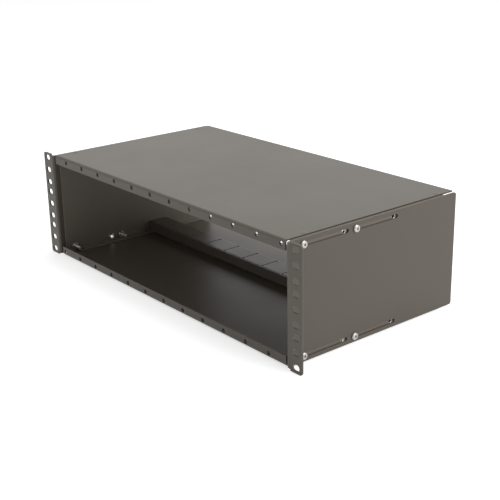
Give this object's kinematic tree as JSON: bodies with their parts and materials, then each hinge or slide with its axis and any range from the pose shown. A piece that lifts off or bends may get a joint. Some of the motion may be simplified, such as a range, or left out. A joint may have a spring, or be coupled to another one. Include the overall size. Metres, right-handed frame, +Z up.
{
  "type": "subrack card cage",
  "caption": "Open 19-inch rack cage for plug-in modules, with eared side plates that adjust in depth along slots, flanged covers with module holes and slit card rails.",
  "frame": {"origin": "centre of the rack hole pattern, on the front face of the ears, half way up the panel", "axes": "+X to the right along the front, +Y to the rear along the depth, +Z up"},
  "size_m": [0.4826, 0.241, 0.1324],
  "materials": {
    "powder_coat": "satin warm dark grey powder coat on folded steel sheet",
    "zinc_plate": "bright zinc plate"
  },
  "bodies": {
    "root": {"top_cover": "powder_coat", "bottom_cover": "powder_coat", "left_side_panel": "powder_coat", "right_side_panel": "powder_coat", "left_rack_plate": "powder_coat", "right_rack_plate": "powder_coat", "lower_card_rail": "powder_coat", "upper_card_rail": "powder_coat", "screw_left_top_front": "zinc_plate", "screw_left_top_rear": "zinc_plate", "screw_left_bottom_front": "zinc_plate", "screw_left_bottom_rear": "zinc_plate", "screw_right_top_front": "zinc_plate", "screw_right_top_rear": "zinc_plate", "screw_right_bottom_front": "zinc_plate", "screw_right_bottom_rear": "zinc_plate", "nut_left_top_1": "zinc_plate", "nut_left_top_2": "zinc_plate", "nut_left_top_3": "zinc_plate", "nut_left_top_4": "zinc_plate", "nut_left_bottom_1": "zinc_plate", "nut_left_bottom_2": "zinc_plate", "nut_left_bottom_3": "zinc_plate", "nut_left_bottom_4": "zinc_plate", "nut_right_top_1": "zinc_plate", "nut_right_top_2": "zinc_plate", "nut_right_top_3": "zinc_plate", "nut_right_top_4": "zinc_plate", "nut_right_bottom_1": "zinc_plate", "nut_right_bottom_2": "zinc_plate", "nut_right_bottom_3": "zinc_plate", "nut_right_bottom_4": "zinc_plate", "rivet_left_top_front": "powder_coat", "rivet_left_top_rear": "powder_coat", "rivet_left_bottom_front": "powder_coat", "rivet_left_bottom_rear": "powder_coat", "rivet_right_top_front": "powder_coat", "rivet_right_top_rear": "powder_coat", "rivet_right_bottom_front": "powder_coat", "rivet_right_bottom_rear": "powder_coat"}
  },
  "joints": []
}
